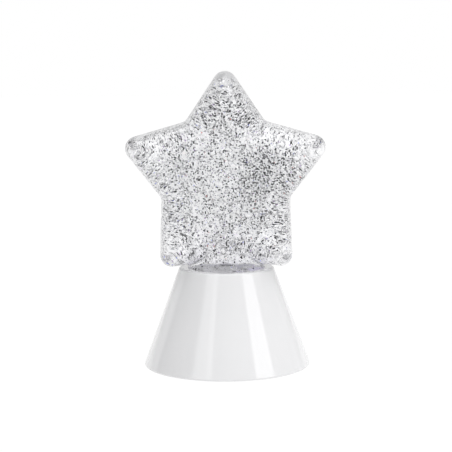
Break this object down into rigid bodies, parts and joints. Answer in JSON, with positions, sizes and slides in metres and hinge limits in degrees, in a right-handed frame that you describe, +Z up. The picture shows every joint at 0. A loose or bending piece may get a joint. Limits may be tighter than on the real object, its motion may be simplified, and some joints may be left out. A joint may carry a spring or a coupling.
{
  "type": "star glitter lamp",
  "caption": "Battery glitter lamp: a clear liquid-filled star with a round neck, standing in a white conical base with a motor-driven magnetic stirrer, LEDs and a battery bay.",
  "frame": {"origin": "on the supporting surface, under the middle of the base (bottom centre of the bounding box)", "axes": "+Z up through the star's top tip, +X to the right of the star's face, -Y out of the star's front face"},
  "size_m": [0.1076, 0.0898, 0.1596],
  "materials": {
    "clear_acrylic": "clear polished acrylic",
    "glitter_liquid": "clear liquid full of fine silver glitter",
    "frosted_acrylic": "frosted",
    "white_gloss": "glossy white",
    "white_plastic": "fine satin",
    "rubber_seal": "matt silicone",
    "rubber_foot": "matt",
    "steel": "zinc plated",
    "motor_metal": "drawn metal can",
    "magnet_plating": "nickel plated",
    "board_green": "satin solder mask",
    "led_epoxy": "clear epoxy",
    "black_plastic": "satin",
    "cell_sleeve": "printed film sleeve, no text",
    "red_sleeve": "soft vinyl",
    "black_sleeve": "soft vinyl"
  },
  "bodies": {
    "lamp": {"base_shell": "white_gloss", "base_plate": "white_plastic", "rubber_foot_1": "rubber_foot", "rubber_foot_2": "rubber_foot", "rubber_foot_3": "rubber_foot", "rubber_foot_4": "rubber_foot", "plate_screw_1": "steel", "plate_screw_2": "steel", "plate_screw_3": "steel", "plate_screw_4": "steel", "star_front_shell": "clear_acrylic", "star_back_shell": "clear_acrylic", "star_liquid": "glitter_liquid", "neck_gasket": "rubber_seal", "neck_plug": "frosted_acrylic", "neck_plug_oring": "rubber_seal", "fill_hole_stopper": "rubber_seal", "impeller_pin": "steel", "impeller_retainer": "steel", "motor_can": "motor_metal", "motor_end_cap": "black_plastic", "motor_screw_1": "steel", "motor_screw_2": "steel", "motor_bracket": "white_plastic", "bracket_screw_1": "steel", "bracket_screw_2": "steel", "bracket_screw_3": "steel", "circuit_board": "board_green", "board_screw_1": "steel", "board_screw_2": "steel", "board_screw_3": "steel", "led_1": "led_epoxy", "led_2": "led_epoxy", "led_3": "led_epoxy", "control_chip": "black_plastic", "switch_body": "steel", "battery_cell_1": "cell_sleeve", "battery_cell_2": "cell_sleeve", "battery_cell_3": "cell_sleeve", "contact_spring_1": "steel", "contact_spring_2": "steel", "contact_spring_3": "steel", "contact_negative_end": "steel", "contact_link_right": "steel", "contact_link_left": "steel", "contact_positive_end": "steel", "lead_battery_plus": "red_sleeve", "lead_battery_minus": "black_sleeve", "lead_switch": "black_sleeve", "lead_motor_plus": "red_sleeve", "lead_motor_minus": "black_sleeve"},
    "motor_rotor": {"motor_shaft": "steel", "drive_disc": "white_plastic", "drive_magnet_1": "magnet_plating", "drive_magnet_2": "magnet_plating"},
    "impeller": {"impeller": "white_plastic", "impeller_magnet_1": "magnet_plating", "impeller_magnet_2": "magnet_plating"},
    "switch_knob": {"switch_knob": "black_plastic"},
    "battery_door": {"battery_door": "white_plastic"}
  },
  "joints": [
    {"name": "motor_spin", "type": "hinge", "parent": "lamp", "child": "motor_rotor", "pos_m": [0, 0, 0.032], "axis": [0, 0, 1], "continuous": true},
    {"name": "impeller_spin", "type": "hinge", "parent": "lamp", "child": "impeller", "pos_m": [0, 0, 0.051], "axis": [0, 0, 1], "continuous": true},
    {"name": "switch_slide", "type": "slide", "parent": "lamp", "child": "switch_knob", "axis": [1, 0, 0], "range_m": [0, 0.004]},
    {"name": "battery_door_hinge", "type": "hinge", "parent": "lamp", "child": "battery_door", "pos_m": [-0.027, 0, 0.0015], "axis": [0, 1, 0], "range_deg": [0, 60]}
  ],
  "couplings": [
    {"joint": "impeller_spin", "follows": "motor_spin", "ratio": 1}
  ]
}
